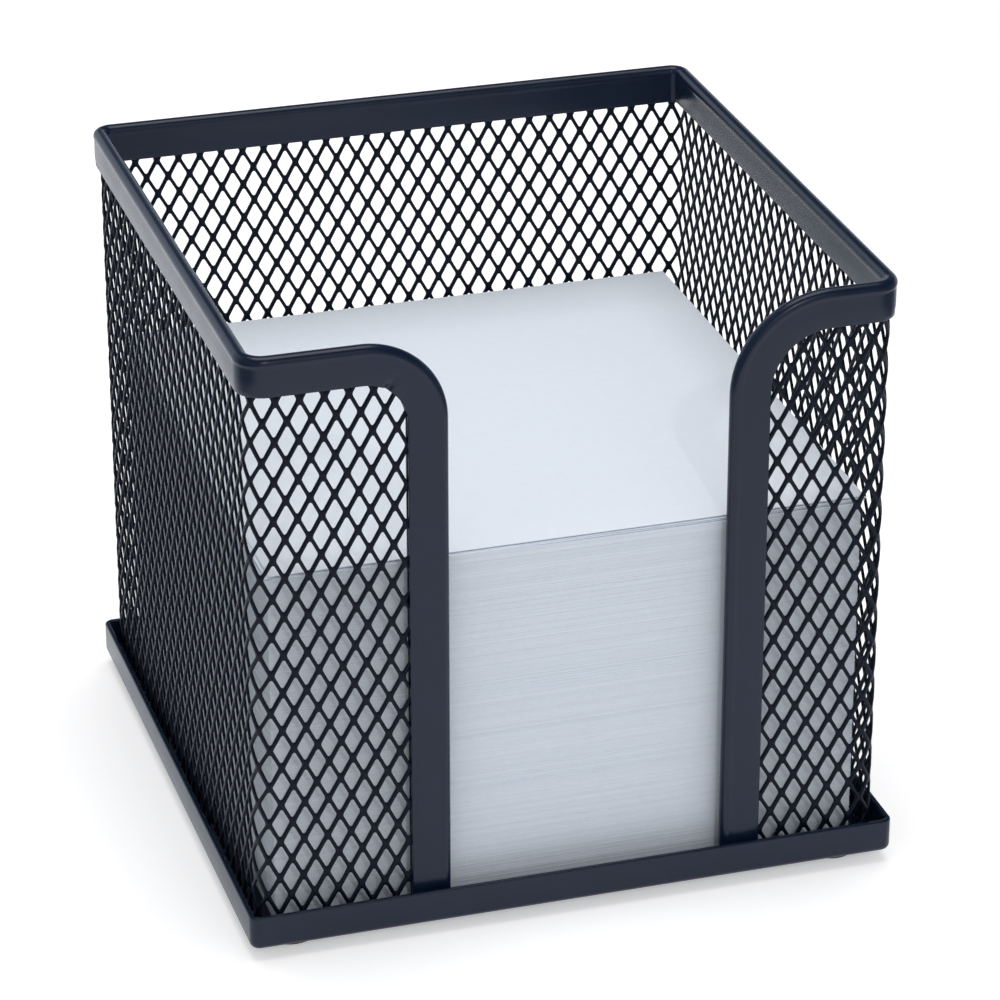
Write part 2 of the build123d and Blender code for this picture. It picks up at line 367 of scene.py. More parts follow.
def note_paper(note):
    """Uncoated white paper, each sheet a little lighter or darker at its cut edge at random, and the stack's
    edges darker as a whole, partly the paper's greyer cut and partly painted shade.
    """
    grain = {"Grain Scale": 5200.0, "Mottle Scale": 700.0, "Tone Spread": 0.05,
             "Roughness": 0.82, "Roughness Spread": 0.1}
    paper_tooth = 0.004 * MM
    found = bpy.data.materials.get("memo_paper")
    return found or new_material("memo_paper", note.colour, grain, paper_tooth, tone_attribute="sheet_tone")


def finish_piece(context, name, mesh, material, body, nodes):
    """Link a finished mesh as a piece that rides on a body and stands for solids."""
    piece = bpy.data.objects.new(name, mesh)
    context.scene.collection.objects.link(piece)
    mesh.materials.clear()
    mesh.materials.append(material)
    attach(piece, body)
    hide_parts(*nodes)


def mesh_from(builder, name, sharp_angle):
    """Close a bmesh as a smooth mesh with outward faces, sharp past an angle in degrees."""
    bmesh.ops.recalc_face_normals(builder, faces=builder.faces)
    for face in builder.faces:
        face.smooth = True
    mesh = bpy.data.meshes.new(name)
    builder.to_mesh(mesh)
    builder.free()
    mesh.set_sharp_from_angle(angle=radians(sharp_angle))
    return mesh


def join_rings(builder, lower, upper):
    """Faces between two rings with the same number of corners."""
    for index in range(len(lower)):
        after = (index + 1) % len(lower)
        builder.faces.new((lower[index], lower[after], upper[after], upper[index]))


def bridge(builder, rings):
    """Faces between rings of places in turn, with the first and the last ring capped."""
    corners = [[builder.verts.new(place) for place in ring] for ring in rings]
    for ring, following in zip(corners, corners[1:]):
        join_rings(builder, ring, following)
    builder.faces.new(corners[0])
    builder.faces.new(corners[-1])


def quarter_turn(steps):
    """Angles from 0 to a right angle in even steps."""
    return [pi / 2 * step / steps for step in range(steps + 1)]


def attach_tree(piece, tree, values):
    """Put a node tree on an object and set its named inputs."""
    modifier = piece.modifiers.new(tree.name, "NODES")
    modifier.node_group = tree
    for item in tree.interface.items_tree:
        if item.in_out == "INPUT" and item.name in values:
            modifier[item.identifier] = values[item.name]


def plain_mesh(piece, name):
    """The evaluated result of an object's node tree as a plain mesh. The object is then removed."""
    graph = bpy.context.evaluated_depsgraph_get()
    mesh = bpy.data.meshes.new_from_object(piece.evaluated_get(graph))
    mesh.name = name
    piece.modifiers.clear()
    bpy.data.objects.remove(piece)
    return mesh


def mesh_cell(wall):
    """One crossing of the mesh with half of each of its four strands, as a mesh.

    x runs along the strip, y outwards and z up. The sheet was slit and drawn out, so the strands lean.
    """
    half_width = wall.strand_width / 2
    bond = Vector((wall.bond_width / 2, wall.bond_height / 2))
    middle = Vector((wall.column_pitch / 4, wall.row_pitch / 4))
    arm = middle - bond
    along = arm.normalized()
    beside = Vector((along.y, -along.x))
    tip = wall.tip_fillet
    side = wall.side_fillet

    reach_above = (half_width * along.y - bond.x) / along.x
    above = bond + reach_above * along - half_width * beside
    reach_beside = (half_width * along.x - bond.y) / along.y
    aside = bond + reach_beside * along + half_width * beside
    above_curve = above + along * tip * along.y / along.x
    aside_curve = aside + along * side * along.x / along.y
    above_middle = Vector((0, above.y + tip / along.x - tip))
    aside_middle = Vector((aside.x + side / along.y - side, 0))
    above_end = middle - half_width * beside
    aside_end = middle + half_width * beside
    near = bond + along * ((above_curve + aside_curve) / 2 - bond).dot(along)

    def depth(x, z):
        """How far the leaning sheet stands out of the wall."""
        if x == 0:
            return 0
        run = max((Vector((abs(x), abs(z))) - bond).dot(along), 0)
        part = min(run / arm.length, 1)
        offset = abs(x) - run * along.x - bond.x * part
        return -tan(wall.lean) * offset * (1 if x > 0 else -1)

    def flip(point, hand, rise):
        """A point of the upper right quarter, mirrored into another one."""
        return (point.x * hand, point.y * rise)

    sides = []
    for rise in (1, -1):
        outline = [flip(above_end, -1, rise), flip(above_curve, -1, rise), flip(above_middle, 1, rise),
                   flip(above_curve, 1, rise), flip(above_end, 1, rise)]
        sides.append((outline, (-1, rise), (1, rise)))
    for hand in (1, -1):
        outline = [flip(aside_end, hand, 1), flip(aside_curve, hand, 1), flip(aside_middle, hand, 1),
                   flip(aside_curve, hand, -1), flip(aside_end, hand, -1)]
        sides.append((outline, (hand, 1), (hand, -1)))

    builder = bmesh.new()
    made = {}

    def corner(point, face, edge):
        """A corner of the sheet's outer or inner face, on its edge or on the crown between."""
        key = (round(point[0] / MM, 6), round(point[1] / MM, 6), face, edge)
        if key not in made:
            stand = wall.strand_thickness / 2 - (wall.strand_crown if edge else 0)
            made[key] = builder.verts.new((point[0], depth(*point) + face * stand, point[1]))
        return made[key]

    for outline, first, last in sides:
        spine = [flip(middle, *first), flip(near, *first), (0, 0), flip(near, *last), flip(middle, *last)]
        for step in range(len(spine) - 1):
            for face in (1, -1):
                builder.faces.new((corner(outline[step], face, True), corner(outline[step + 1], face, True),
                                   corner(spine[step + 1], face, False), corner(spine[step], face, False)))
            builder.faces.new((corner(outline[step], 1, True), corner(outline[step + 1], 1, True),
                               corner(outline[step + 1], -1, True), corner(outline[step], -1, True)))
    bmesh.ops.recalc_face_normals(builder, faces=builder.faces)
    cell = bpy.data.meshes.new("mesh_cell")
    builder.to_mesh(cell)
    builder.free()
    return cell


def strip_stretches():
    """The strip's plan from the slot's left edge round to its right edge.

    Each stretch is its name, its start, its direction, its length along the strip, and its bend radius or 0.
    """
    side_run = SIDE_HIGH.y - SIDE_LOW.y
    front_bend, back_bend = FRONT_RADIUS * pi / 2, BACK_RADIUS * pi / 2
    return [
        ("front_left", Vector((SLOT_LEFT, -WALL_Y, 0)), LEFT, SLOT_LEFT + FRONT_END, 0),
        ("corner_front_left", Vector((-FRONT_END, -WALL_Y, 0)), LEFT, front_bend, FRONT_RADIUS),
        ("left", Vector((-WALL_X, SIDE_LOW.y, 0)), BACK, side_run, 0),
        ("corner_back_left", Vector((-WALL_X, SIDE_HIGH.y, 0)), BACK, back_bend, BACK_RADIUS),
        ("back", Vector((-BACK_END, WALL_Y, 0)), RIGHT, 2 * BACK_END, 0),
        ("corner_back_right", Vector((BACK_END, WALL_Y, 0)), RIGHT, back_bend, BACK_RADIUS),
        ("right", Vector((WALL_X, SIDE_HIGH.y, 0)), FRONT, side_run, 0),
        ("corner_front_right", Vector((WALL_X, SIDE_LOW.y, 0)), FRONT, front_bend, FRONT_RADIUS),
        ("front_right", Vector((FRONT_END, -WALL_Y, 0)), LEFT, FRONT_END - SLOT_RIGHT, 0),
    ]


def strip_path(context):
    """The strip's plan as a curve object, one span for each stretch."""
    stretches = strip_stretches()
    curve = bpy.data.curves.new("strip_path", "CURVE")
    curve.dimensions = "3D"
    spline = curve.splines.new("BEZIER")
    spline.bezier_points.add(len(stretches))
    spline.resolution_u = 24
    quarter_arc = 4 / 3 * tan(pi / 8)
    places = [(start, direction) for _, start, direction, _, _ in stretches]
    _, last_start, last_direction, last_length, _ = stretches[-1]
    places.append((last_start + last_direction * last_length, last_direction))
    reaches = [quarter_arc * radius if radius else length / 3 for _, _, _, length, radius in stretches]
    for index, (point, (place, direction)) in enumerate(zip(spline.bezier_points, places)):
        point.handle_left_type = point.handle_right_type = "FREE"
        point.co = place
        point.handle_left = place - direction * reaches[max(index - 1, 0)]
        point.handle_right = place + direction * reaches[min(index, len(reaches) - 1)]
    path = bpy.data.objects.new("strip_path", curve)
    context.scene.collection.objects.link(path)
    return path


def rule_curve(graph, part, column):
    """A Float Curve node's value along the strip, through one column of the DRAWN table."""
    node = graph.add("ShaderNodeFloatCurve", {"Value": part})
    node.mapping.use_clip = False
    points = node.mapping.curves[0].points
    strip_end = DRAWN[-1][0]
    for index, row in enumerate(DRAWN):
        place = (row[0] / strip_end, row[column])
        if index < len(points):
            points[index].location = place
        else:
            points.new(*place)
    for point in points:
        point.handle_type = "AUTO_CLAMPED"
    node.mapping.update()
    return node.outputs[0]


def drawn_place(graph, given, position):
    """Where the uneven drawing of the sheet leaves a place: its distance along the strip and its height."""
    math = graph.math
    even = graph.separate(position)
    part = math("DIVIDE", even["X"], given["Strip Length"])
    shift, spread, rise, slant = (rule_curve(graph, part, column) for column in range(1, 5))
    below = math("MULTIPLY", math("SUBTRACT", given["Top Row"], even["Z"]), spread)
    along = math("SUBTRACT", math("MULTIPLY_ADD", shift, MM, even["X"]), math("MULTIPLY", below, slant))
    height = math("SUBTRACT", math("MULTIPLY_ADD", rise, MM, given["Top Row"]), below)
    return along, height


def path_at(graph, given, length):
    """The path's place and tangent at a distance along it."""
    path = graph.add("GeometryNodeObjectInfo", {"Object": given["Path"]}, transform_space="ORIGINAL")
    inputs = {"Curves": path.outputs["Geometry"], "Length": length}
    return graph.add("GeometryNodeSampleCurve", inputs, mode="LENGTH").outputs


def lattice_points(graph, given, column_step, row_step):
    """A grid of points over the flat strip, half a diamond apart each way."""
    math = graph.math
    width = math("MULTIPLY", math("SUBTRACT", given["Columns"], 1), column_step)
    rise = math("MULTIPLY", math("SUBTRACT", given["Rows"], 1), row_step)
    grid = graph.add("GeometryNodeMeshGrid", {
        "Size X": width, "Size Y": rise, "Vertices X": given["Columns"], "Vertices Y": given["Rows"]})
    flat = graph.separate(graph.position())
    along = math("ADD", math("MULTIPLY_ADD", width, 0.5, flat["X"]), given["First Column"])
    drop = math("SUBTRACT", math("MULTIPLY", rise, 0.5), flat["Y"])
    place = graph.combine(along, 0.0, math("SUBTRACT", given["Top Row"], drop))
    return graph.flow("GeometryNodeSetPosition", grid.outputs["Mesh"], {"Position": place})


def has_crossing(graph, given, column_step, row_step):
    """1 at every second point of the lattice, where two strands meet."""
    math = graph.math
    place = graph.separate(graph.position())
    column = math("ROUND", math("DIVIDE", math("SUBTRACT", place["X"], given["First Column"]), column_step))
    row = math("ROUND", math("DIVIDE", math("SUBTRACT", given["Top Row"], place["Z"]), row_step))
    odd = math("FLOORED_MODULO", math("ADD", math("ADD", column, row), given["Parity"]), 2.0)
    return math("LESS_THAN", odd, 0.5)


def clear_of_edges(graph, given):
    """1 where a point of the lattice stands clear of the tray, the slot and the slot's curves."""
    math = graph.math
    along, height = drawn_place(graph, given, graph.position())
    spot = graph.separate(path_at(graph, given, along)["Position"])
    from_middle = math("ABSOLUTE", math("SUBTRACT", spot["X"], given["Slot Middle"]))
    from_slot = math("SUBTRACT", from_middle, given["Slot Half Width"])
    from_top = math("SUBTRACT", given["Rim Top"], height)
    short_x = math("MAXIMUM", math("SUBTRACT", given["Slot Radius"], from_slot), 0.0)
    short_z = math("MAXIMUM", math("SUBTRACT", given["Slot Radius"], from_top), 0.0)
    corner = math("SQRT", math("ADD", math("MULTIPLY", short_x, short_x), math("MULTIPLY", short_z, short_z)))
    clear = math("GREATER_THAN", math("SUBTRACT", given["Slot Radius"], corner), given["Edge Margin"])
    not_front = math("GREATER_THAN", spot["Y"], 0.0)
    above_floor = math("GREATER_THAN", height, given["Lowest Row"])
    return math("MULTIPLY", above_floor, math("MAXIMUM", clear, not_front))


def bent_round(graph, given):
    """Where a place of the flat mesh comes to stand, drawn unevenly and bent round the path."""
    flat_place = graph.position()
    length, height = drawn_place(graph, given, flat_place)
    track = path_at(graph, given, length)
    outward = graph.vector("CROSS_PRODUCT", tuple(UP), track["Tangent"])
    stand = graph.scale(outward, graph.separate(flat_place)["Y"])
    return graph.vector("ADD", graph.vector("ADD", track["Position"], stand), graph.combine(0.0, 0.0, height))


def expanded_mesh_tree():
    """Node tree that sets the mesh's crossings in rows, joins them and bends them round the strip's path."""
    inputs = {
        "Geometry": ["Cell"],
        "Object": ["Path"],
        "Int": ["Columns", "Rows", "Parity"],
        "Float": ["Column Pitch", "Row Pitch", "First Column", "Top Row", "Strip Length", "Lowest Row",
                  "Slot Middle", "Slot Half Width", "Slot Radius", "Rim Top", "Edge Margin"],
        "Material": ["Coat"],
    }
    graph, given, result = open_group("expanded_mesh", "GeometryNodeTree", inputs, {"Geometry": ["Mesh"]})
    weld_distance = 0.01 * MM
    column_step = graph.math("MULTIPLY", given["Column Pitch"], 0.5)
    row_step = graph.math("MULTIPLY", given["Row Pitch"], 0.5)
    points = lattice_points(graph, given, column_step, row_step)
    crossing = has_crossing(graph, given, column_step, row_step)
    kept = graph.math("MULTIPLY", crossing, clear_of_edges(graph, given))
    cells = graph.add("GeometryNodeInstanceOnPoints", {
        "Points": points, "Selection": kept, "Instance": given["Cell"]})
    mesh = graph.flow("GeometryNodeRealizeInstances", cells.outputs["Instances"])
    mesh = graph.flow("GeometryNodeMergeByDistance", mesh, {"Distance": weld_distance})
    mesh = graph.flow("GeometryNodeSetPosition", mesh, {"Position": bent_round(graph, given)})
    mesh = graph.flow("GeometryNodeSetShadeSmooth", mesh, {"Shade Smooth": True})
    mesh = graph.flow("GeometryNodeSetMaterial", mesh, {"Material": given["Coat"]})
    graph.give(result.inputs["Mesh"], mesh)
    return graph.tree


def close_strand_ends(mesh):
    """Cap the cut strands, and turn all faces outwards."""
    builder = bmesh.new()
    builder.from_mesh(mesh)
    bmesh.ops.holes_fill(builder, edges=[edge for edge in builder.edges if edge.is_boundary], sides=0)
    bmesh.ops.recalc_face_normals(builder, faces=builder.faces)
    builder.to_mesh(mesh)
    builder.free()


class BuildMeshWalls(Operator):
    """Expanded mesh, one strip bent round the four corners, in one piece for each wall"""

    bl_idname = "memo_box.mesh_walls"
    bl_label = "Mesh walls"

    walls = {
        "front_left": ["front_left", "corner_front_left"],
        "left": ["left"],
        "back": ["corner_back_left", "back", "corner_back_right"],
        "right": ["right"],
        "front_right": ["corner_front_right", "front_right"],
    }
    # Part of a step between rows by which the lowest crossings clear the strip's lower edge
    lowest_share = 0.53

    def execute(self, context):
        wall = context.scene.memo_mesh
        edge = context.scene.memo_edge
        coat = mesh_coat(context.scene.memo_coat)
        path = strip_path(context)
        tree = expanded_mesh_tree()
        column_step = wall.column_pitch / 2
        row_step = wall.row_pitch / 2
        rows_above = floor((MESH_HIGH.z - row_step / 2 - wall.row_start) / row_step)
        top_row = wall.row_start + rows_above * row_step
        least_spread = min(row[2] for row in DRAWN)
        common = {
            "Path": path,
            "Rows": ceil((top_row - MESH_LOW.z) / (row_step * least_spread)) + 1,
            "Column Pitch": wall.column_pitch,
            "Row Pitch": wall.row_pitch,
            "Top Row": top_row,
            "Strip Length": DRAWN[-1][0] * MM,
            "Lowest Row": MESH_LOW.z + row_step * self.lowest_share,
            "Slot Middle": (SLOT_LEFT + SLOT_RIGHT) / 2,
            "Slot Half Width": (SLOT_RIGHT - SLOT_LEFT) / 2,
            "Slot Radius": max(edge.left_radius, edge.right_radius),
            "Rim Top": RIM_TOP,
            "Edge Margin": MESH_SETBACK + column_step / 2,
            "Coat": coat,
        }
        spans = {}
        reached = 0
        for name, _, _, length, _ in strip_stretches():
            spans[name] = (reached, reached + length)
            reached += length
        for name, stretches in self.walls.items():
            start, end = spans[stretches[0]][0], spans[stretches[-1]][1]
            first = ceil((start - wall.column_start) / column_step)
            last = ceil((end - wall.column_start) / column_step) - 1
            draft = bpy.data.objects.new(f"mesh_draft_{name}", mesh_cell(wall))
            context.scene.collection.objects.link(draft)
            values = {"Columns": last - first + 1, "First Column": wall.column_start + first * column_step,
                      "Parity": (first + rows_above + 1) % 2}
            attach_tree(draft, tree, {**common, **values})
            mesh = plain_mesh(draft, f"mesh_wall_{name}")
            close_strand_ends(mesh)
            nodes = [f"mesh_{stretch}" for stretch in stretches]
            finish_piece(context, f"mesh_wall_{name}", mesh, coat, "box", nodes)
        bpy.data.objects.remove(path)
        return {"FINISHED"}


def edge_stations(edge):
    """Places along the folded edge, from the left foot of the slot round to the right one.

    Each is the crown's place, the way out of the wall, and the way from the crown into the mesh.
    """
    arc_steps, bend_steps, run_steps = 72, 10, 12
    left_curve = Vector((SLOT_LEFT - edge.left_radius, -WALL_Y, RIM_TOP - edge.left_radius))
    right_curve = Vector((SLOT_RIGHT + edge.right_radius, -WALL_Y, RIM_TOP - edge.right_radius))
    left_foot = Vector((SLOT_LEFT, -WALL_Y, STACK_LOW.z))
    right_foot = Vector((SLOT_RIGHT, -WALL_Y, STACK_LOW.z))
    stations = []

    def run(start, end, outward, inward):
        """A straight stretch."""
        for step in range(run_steps):
            stations.append((start.lerp(end, step / run_steps), outward, inward))

    def slot_curve(centre, radius, first, last):
        """A curve in the front, between the top and a side of the slot."""
        for step in range(arc_steps):
            angle = radians(first + (last - first) * step / arc_steps)
            spoke = Vector((cos(angle), 0, sin(angle)))
            stations.append((centre + spoke * radius, FRONT, -spoke))

    run(left_foot, left_curve + RIGHT * edge.left_radius, FRONT, LEFT)
    slot_curve(left_curve, edge.left_radius, 0, 90)
    # The rim follows the strip's plan, with its front stretches cut short by the slot's curves
    for name, place, direction, length, radius in strip_stretches():
        outward = UP.cross(direction)
        start = place + UP * RIM_TOP
        end = start + direction * length
        if name == "front_left":
            start.x = left_curve.x
        if name == "front_right":
            end.x = right_curve.x
        if not radius:
            run(start, end, outward, DOWN)
            continue
        for angle in quarter_turn(bend_steps)[:-1]:
            spoke = outward * cos(angle) + direction * sin(angle)
            stations.append((start + (spoke - outward) * radius, spoke, DOWN))
    slot_curve(right_curve, edge.right_radius, 90, 180)
    run(right_curve + LEFT * edge.right_radius, right_foot, FRONT, RIGHT)
    stations.append((right_foot, FRONT, RIGHT))
    return stations


def edge_section(edge):
    """The folded edge's closed outline: distance out of the wall, and down from the crown into the mesh."""
    outer = CHANNEL_WIDTH / 2
    face = outer - edge.bead
    inner = face - edge.sheet
    pressed = face - edge.pinch
    grip = edge.grip / 2
    lip = CHANNEL_HEIGHT
    crown_steps = 11
    crown_turn = radians(114)
    # Depths below the crown at which the outline turns
    bead_end, flat_start, face_middle = 1.75 * MM, 2.2 * MM, lip * 0.55
    pinch_start, pinch_end = lip - 1.5 * MM, lip - 0.9 * MM
    grip_start, grip_end = lip - 1.4 * MM, lip - 1.0 * MM
    rounding = 0.2 * MM
    cut = rounding * 0.3
    crown = [crown_turn * step / crown_steps for step in range(crown_steps + 1)]
    half = [(outer * sin(angle), outer * (1 - cos(angle))) for angle in crown]
    half += [(face, bead_end), (face, flat_start), (face, face_middle), (face, pinch_start),
             (pressed, pinch_end), (pressed, lip - rounding), (pressed - cut, lip - cut),
             (pressed - rounding, lip), (grip, lip), (grip, grip_end), (inner, grip_start), (inner, outer)]
    half += [(inner * sin(angle), edge.sheet + inner * (1 - cos(angle)))
             for angle in reversed(quarter_turn(4)[1:-1])]
    other_half = [(-across, down) for across, down in reversed(half[1:])]
    return half + [(0, edge.sheet)] + other_half


class BuildEdge(Operator):
    """Folded edge: one channel round the rim and down both sides of the slot"""

    bl_idname = "memo_box.edge"
    bl_label = "Folded edge"

    nodes = ["rim_left", "rim_back", "rim_right", "front_edge_left", "front_edge_right"]

    def execute(self, context):
        edge = context.scene.memo_edge
        section = edge_section(edge)
        spoke = Vector((cos(edge.crimp_angle), 0, sin(edge.crimp_angle)))
        curve = Vector((SLOT_LEFT - edge.left_radius, 0, RIM_TOP - edge.left_radius))
        crimp = curve + spoke * (edge.left_radius - CHANNEL_HEIGHT)

        def crimped(place, outward, inward, across, down):
            """A point of the section, pressed in where the sheet bunched."""
            point = place + outward * across + inward * down
            if across > 0 and point.y < 0:
                offset = Vector((point.x - crimp.x, 0, point.z - crimp.z))
                fade = max(1 - abs(offset.dot(spoke)) / edge.crimp_length, 0)
                aside = offset.cross(spoke).length / edge.crimp_width
                point -= outward * edge.crimp_depth * fade * exp(-aside ** 2)
            return point

        stations = edge_stations(edge)
        builder = bmesh.new()
        bridge(builder, [[crimped(*station, *point) for point in section] for station in stations])
        mesh = mesh_from(builder, "edge_channel", sharp_angle=50)
        coat = satin_coat(context.scene.memo_coat)
        finish_piece(context, "edge_channel", mesh, coat, "box", self.nodes)
        return {"FINISHED"}


def rounded_square(half_x, half_y, radius, height, corner_steps=8):
    """Places round a rounded rectangle about the origin at a height."""
    ring = []
    for quadrant, (side_x, side_y) in enumerate(((1, 1), (-1, 1), (-1, -1), (1, -1))):
        for step in range(corner_steps + 1):
            angle = pi / 2 * (quadrant + step / corner_steps)
            ring.append((side_x * (half_x - radius) + radius * cos(angle),
                         side_y * (half_y - radius) + radius * sin(angle), height))
    return ring


def circle(centre, radius, height, steps=32):
    """Places round a circle at a height."""
    angles = [2 * pi * step / steps for step in range(steps)]
    return [(centre.x + radius * cos(angle), centre.y + radius * sin(angle), height) for angle in angles]


class BuildTray(Operator):
    """Pressed tray with a rounded lower edge and an upturned lip"""

    bl_idname = "memo_box.tray"
    bl_label = "Tray"

    def execute(self, context):
        tray = context.scene.memo_tray
        low, high = TRAY_LOW.z, TRAY_HIGH.z
        edge, sheet, lip = tray.edge_radius, tray.sheet, tray.lip_radius
        bend = edge - sheet
        turns = quarter_turn(4)
        section = [(edge * (1 - sin(angle)), low + edge * (1 - cos(angle))) for angle in quarter_turn(6)]
        section += [(lip * (1 - cos(angle)), high - lip * (1 - sin(angle))) for angle in turns]
        section += [(sheet - lip * (1 - sin(angle)), high - lip * (1 - cos(angle))) for angle in turns]
        section += [(sheet + bend * (1 - cos(angle)), low + sheet + bend * (1 - sin(angle)))
                    for angle in turns]
        rings = []
        for inset, height in section:
            radius = max(tray.corner_radius - inset, tray.least_radius)
            rings.append(rounded_square(TRAY_HIGH.x - inset, TRAY_HIGH.y - inset, radius, height))
        builder = bmesh.new()
        bridge(builder, rings)
        mesh = mesh_from(builder, "tray", sharp_angle=40)
        coat = satin_coat(context.scene.memo_coat)
        finish_piece(context, "tray", mesh, coat, "box", ["base_tray"])
        return {"FINISHED"}


class BuildFeet(Operator):
    """Four round rubber pads under the tray"""

    bl_idname = "memo_box.feet"
    bl_label = "Feet"

    def execute(self, context):
        tray = context.scene.memo_tray
        rubber = foot_rubber(context.scene.memo_coat)
        edge = tray.foot_edge
        for node in FOOT_NODES:
            low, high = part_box(node)
            centre = (low + high) / 2
            radius = (high.x - low.x) / 2
            profile = [(radius * tray.dish_floor, low.z + tray.dish_depth), (radius * tray.dish_rim, low.z)]
            profile += [(radius - edge * (1 - sin(angle)), low.z + edge * (1 - cos(angle)))
                        for angle in quarter_turn(5)]
            profile.append((radius - tray.foot_taper, high.z))
            builder = bmesh.new()
            bridge(builder, [circle(centre, reach, height) for reach, height in profile])
            name = node.replace("foot", "pad")
            mesh = mesh_from(builder, name, sharp_angle=50)
            finish_piece(context, name, mesh, rubber, "box", [node])
        return {"FINISHED"}


def sheet_stack_tree():
    """Node tree that lays sheets on each other, each a little out of line, the topmost batches turned."""
    inputs = {
        "Geometry": ["Sheet"],
        "Int": ["Count", "Batches", "Seed"],
        "Float": ["Step", "Width", "Jitter", "Swing", "Batch", "Edge Tone", "Tone Spread"],
        "Vector": ["Base"],
        "Material": ["Paper"],
    }
    graph, given, result = open_group("sheet_stack", "GeometryNodeTree", inputs, {"Geometry": ["Mesh"]})
    math = graph.math
    line = graph.add("GeometryNodeMeshLine", {
        "Count": given["Count"], "Start Location": given["Base"],
        "Offset": graph.combine(0.0, 0.0, given["Step"])}, mode="OFFSET")
    index = graph.add("GeometryNodeInputIndex").outputs[0]

    def random(seed_step):
        """A random number from -1 to 1 for each sheet."""
        node = graph.add("FunctionNodeRandomValue", data_type="FLOAT")
        values = {"Min": -1.0, "Max": 1.0, "ID": index, "Seed": math("ADD", given["Seed"], seed_step)}
        for socket in node.inputs:
            if socket.enabled and socket.name in values:
                graph.give(socket, values[socket.name])
        return next(socket for socket in node.outputs if socket.enabled)

    def offset(seed_step):
        """A random offset for each sheet, mostly small."""
        number = random(seed_step)
        return math("MULTIPLY", math("MULTIPLY", number, math("ABSOLUTE", number)), given["Jitter"])

    from_top = math("MULTIPLY", math("SUBTRACT", given["Count"], index), given["Step"])
    batch = math("FLOOR", math("DIVIDE", from_top, given["Batch"]))
    turned = math("MAXIMUM", math("SUBTRACT", 1.0, math("DIVIDE", batch, given["Batches"])), 0.0)
    reach = math("MULTIPLY", turned, given["Swing"])
    angle = math("DIVIDE", reach, given["Width"])
    shift = graph.combine(offset(1.0), math("SUBTRACT", offset(2.0), math("MULTIPLY", reach, 0.5)), 0.0)
    laid = graph.flow("GeometryNodeSetPosition", line.outputs["Mesh"], {"Offset": shift})
    sheets = graph.add("GeometryNodeInstanceOnPoints", {
        "Points": laid, "Instance": given["Sheet"],
        "Rotation": graph.combine(0.0, 0.0, math("MULTIPLY", angle, -1.0))})
    # Each stack sheet's tone: a random spread, times the edge tone, which is partly painted shade of the
    # stack's front
    own_tone = math("MULTIPLY_ADD", random(4.0), given["Tone Spread"], 1.0)
    tone = {"Name": "sheet_tone", "Value": math("MULTIPLY", own_tone, given["Edge Tone"])}
    mesh = graph.flow("GeometryNodeStoreNamedAttribute", sheets.outputs["Instances"], tone,
                      data_type="FLOAT", domain="INSTANCE")
    mesh = graph.flow("GeometryNodeRealizeInstances", mesh)
    mesh = graph.flow("GeometryNodeSetMaterial", mesh, {"Material": given["Paper"]})
    graph.give(result.inputs["Mesh"], mesh)
    return graph.tree


class BuildNoteStack(Operator):
    """Stack of square notes, every sheet a separate leaf"""

    bl_idname = "memo_box.note_stack"
    bl_label = "Note stack"

    def execute(self, context):
        note = context.scene.memo_note
        paper = note_paper(note)
        half_x = (STACK_HIGH.x - STACK_LOW.x) / 2
        half_y = (STACK_HIGH.y - STACK_LOW.y) / 2
        count = round((STACK_HIGH.z - STACK_LOW.z) / note.sheet)
        step = (STACK_HIGH.z - STACK_LOW.z - note.droop) / count
        faces = (0, step - note.gap)
        builder = bmesh.new()
        bridge(builder, [rounded_square(half_x, half_y, note.corner, face, corner_steps=2) for face in faces])
        draft = bpy.data.objects.new("stack_draft", mesh_from(builder, "leaf", sharp_angle=30))
        context.scene.collection.objects.link(draft)
        middle = (STACK_LOW + STACK_HIGH) / 2
        attach_tree(draft, sheet_stack_tree(), {
            "Count": count,
            "Step": step,
            "Base": (middle.x, middle.y, STACK_LOW.z),
            "Width": half_x * 2,
            "Jitter": note.jitter,
            "Swing": note.swing,
            "Batch": note.batch,
            "Batches": note.batches,
            "Edge Tone": note.edge_tone_and_shade,
            "Tone Spread": note.tone_spread,
            "Seed": note.seed,
            "Paper": paper,
        })
        mesh = plain_mesh(draft, "note_leaves")
        finish_piece(context, "note_leaves", mesh, paper, "notes", ["note_stack"])
        return {"FINISHED"}


def loose_sheet(node, note, droop):
    """One sheet over its solid as a bmesh, hanging by a droop at its front edge."""
    corners = [vertex.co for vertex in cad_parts[node].data.vertices]
    low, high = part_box(node)
    near_left = min(corners, key=lambda corner: corner.x + corner.y).to_2d()
    near_right = min(corners, key=lambda corner: corner.y - corner.x).to_2d()
    across = near_right - near_left
    away = Vector((-across.y, across.x))
    steps = 24
    builder = bmesh.new()

    def face(height):
        """Rows of corners over the sheet at a height, joined by faces."""
        rows = []
        for row in range(steps + 1):
            sag = droop * max(1 - away.length * row / steps / note.droop_reach, 0) ** 2
            line = []
            for column in range(steps + 1):
                spot = near_left + across * (column / steps) + away * (row / steps)
                line.append(builder.verts.new((spot.x, spot.y, height - sag)))
            rows.append(line)
        for line, following in zip(rows, rows[1:]):
            for column in range(steps):
                after = column + 1
                builder.faces.new((line[column], line[after], following[after], following[column]))
        return rows

    def border(rows):
        """The outer corners of those rows in turn."""
        between = rows[1:-1]
        return rows[0] + [row[-1] for row in between] + rows[-1][::-1] + [row[0] for row in between[::-1]]

    join_rings(builder, border(face(low.z)), border(face(high.z - note.gap)))
    return builder


